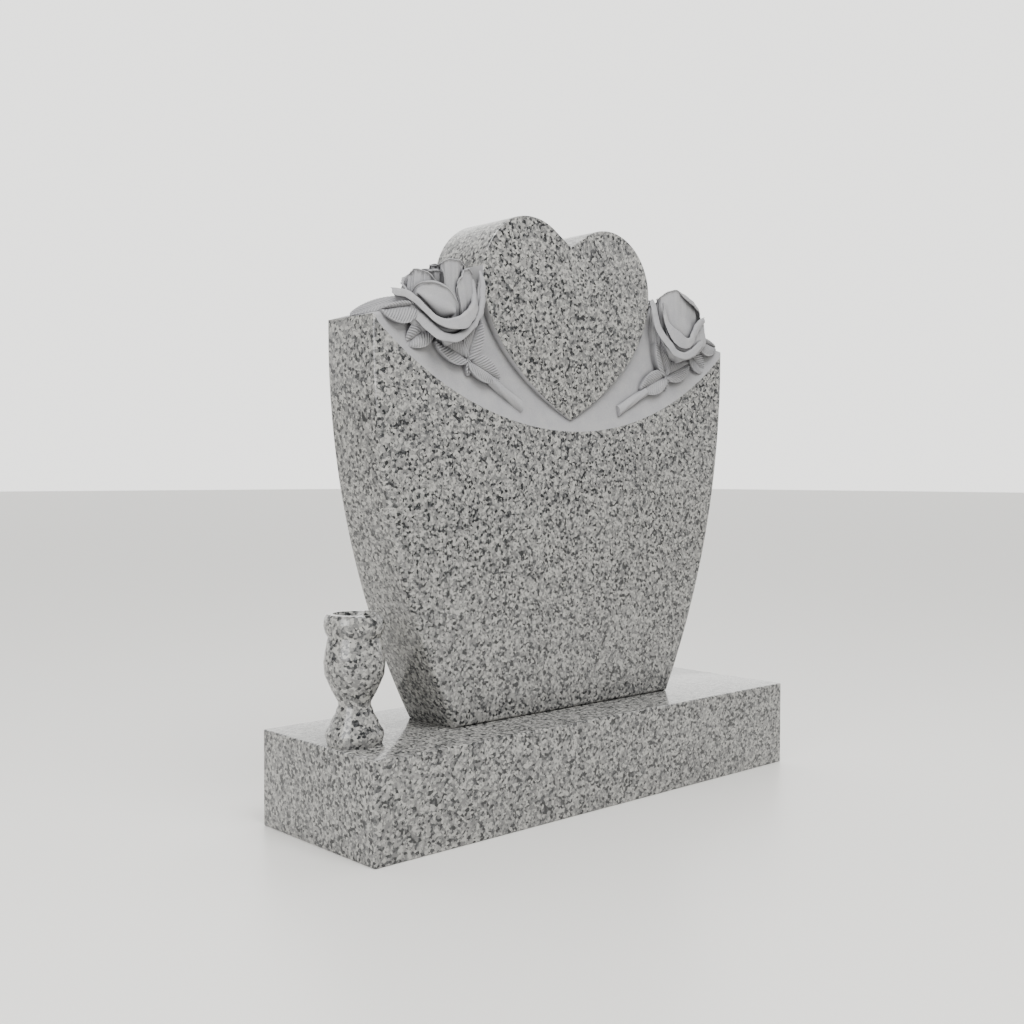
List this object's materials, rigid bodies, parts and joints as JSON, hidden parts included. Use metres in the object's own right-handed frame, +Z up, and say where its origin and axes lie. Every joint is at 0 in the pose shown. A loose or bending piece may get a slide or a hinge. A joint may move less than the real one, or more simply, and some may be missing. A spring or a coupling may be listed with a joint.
{
  "type": "heart headstone",
  "caption": "Upright granite headstone on a base slab: a raised heart between carved roses on sloping shoulders, with a turned flower vase on the base.",
  "frame": {"origin": "middle of the base's underside", "axes": "+Z up, +X along the stone, the carved face looks to -Y"},
  "size_m": [0.98, 0.3, 0.9935],
  "materials": {
    "base_granite": "polished speckled grey granite",
    "tablet_granite": "polished speckled grey granite, with the sunk crescent, shoulders, roses, leaves and stems left matt",
    "vase_granite": "polished speckled grey granite"
  },
  "bodies": {
    "root": {"base": "base_granite", "tablet": "tablet_granite", "vase": "vase_granite"}
  },
  "joints": []
}
